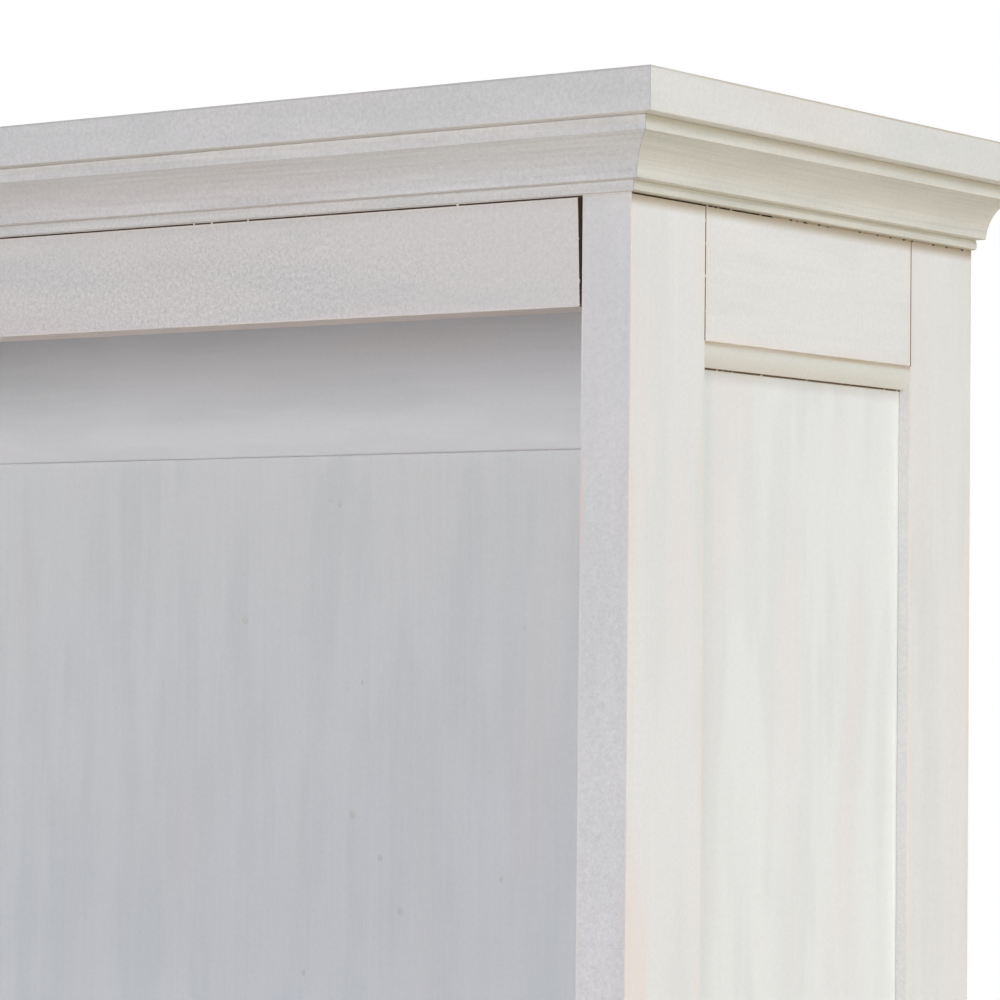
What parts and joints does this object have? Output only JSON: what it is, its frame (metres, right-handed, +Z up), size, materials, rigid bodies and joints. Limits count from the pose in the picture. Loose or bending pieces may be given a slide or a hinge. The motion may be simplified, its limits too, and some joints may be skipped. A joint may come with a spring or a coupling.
{
  "type": "linen cabinet",
  "caption": "Tall linen cabinet with an open shelved upper case, a mitred cove crown, panelled sides and a pair of inset panelled doors below.",
  "frame": {"origin": "on the floor, in the middle of the rectangle that the cabinet with its crown covers", "axes": "+X to the cabinet's right-hand side as a person facing it sees it, -Y out of the front, +Z up"},
  "size_m": [1.156, 0.5016, 1.93],
  "materials": {
    "whitewash": "brushed whitewash over wood, worn to brown at the edges and joints",
    "inside_whitewash": "whitewashed inside, vertical grain",
    "bare_wood": "bare sawn wood",
    "dark_bronze": "dark bronze, worn to brass on the rubbed edges",
    "steel": "plated steel",
    "glide_plastic": "black nylon",
    "catch_plastic": "pale nylon"
  },
  "bodies": {
    "case": {"front_post_left": "whitewash", "front_post_right": "whitewash", "rear_post_left": "whitewash", "rear_post_right": "whitewash", "header_rail": "whitewash", "waist_rail": "whitewash", "bottom_rail": "whitewash", "side_top_rail_left": "whitewash", "side_top_rail_right": "whitewash", "side_waist_rail_left": "whitewash", "side_waist_rail_right": "whitewash", "side_bottom_rail_left": "whitewash", "side_bottom_rail_right": "whitewash", "side_upper_panel_left": "whitewash", "side_upper_panel_right": "whitewash", "side_lower_panel_left": "whitewash", "side_lower_panel_right": "whitewash", "side_beads": "whitewash", "back_top_rail": "inside_whitewash", "back_waist_rail": "inside_whitewash", "back_bottom_rail": "inside_whitewash", "back_upper_panel": "inside_whitewash", "back_lower_panel": "inside_whitewash", "ceiling_panel": "inside_whitewash", "waist_shelf": "whitewash", "bottom_board": "whitewash", "board_cleats": "bare_wood", "upper_shelf": "whitewash", "lower_shelf": "whitewash", "shelf_pins": "steel", "crown_riser_front": "bare_wood", "crown_riser_back": "bare_wood", "crown_riser_left": "bare_wood", "crown_riser_right": "bare_wood", "crown_moulding_front": "whitewash", "crown_moulding_left": "whitewash", "crown_moulding_right": "whitewash", "top_board": "whitewash", "top_lipping_front": "whitewash", "top_lipping_left": "whitewash", "top_lipping_right": "whitewash", "foot_glides": "glide_plastic", "hinge_frame_leaves": "dark_bronze", "door_catches": "catch_plastic"},
    "door_left": {"door_left_hinge_stile": "whitewash", "door_left_meeting_stile": "whitewash", "door_left_top_rail": "whitewash", "door_left_bottom_rail": "whitewash", "door_left_panel": "whitewash", "door_left_knob": "dark_bronze", "door_left_hinge_leaves": "dark_bronze", "door_left_strike": "steel"},
    "door_right": {"door_right_hinge_stile": "whitewash", "door_right_meeting_stile": "whitewash", "door_right_top_rail": "whitewash", "door_right_bottom_rail": "whitewash", "door_right_panel": "whitewash", "door_right_knob": "dark_bronze", "door_right_hinge_leaves": "dark_bronze", "door_right_strike": "steel"}
  },
  "joints": [
    {"name": "door_left_hinge", "type": "hinge", "parent": "case", "child": "door_left", "pos_m": [-0.4925, -0.21075, 0.4615], "axis": [0, 0, -1], "range_deg": [0, 170]},
    {"name": "door_right_hinge", "type": "hinge", "parent": "case", "child": "door_right", "pos_m": [0.4925, -0.21075, 0.4615], "axis": [0, 0, 1], "range_deg": [0, 170]}
  ]
}
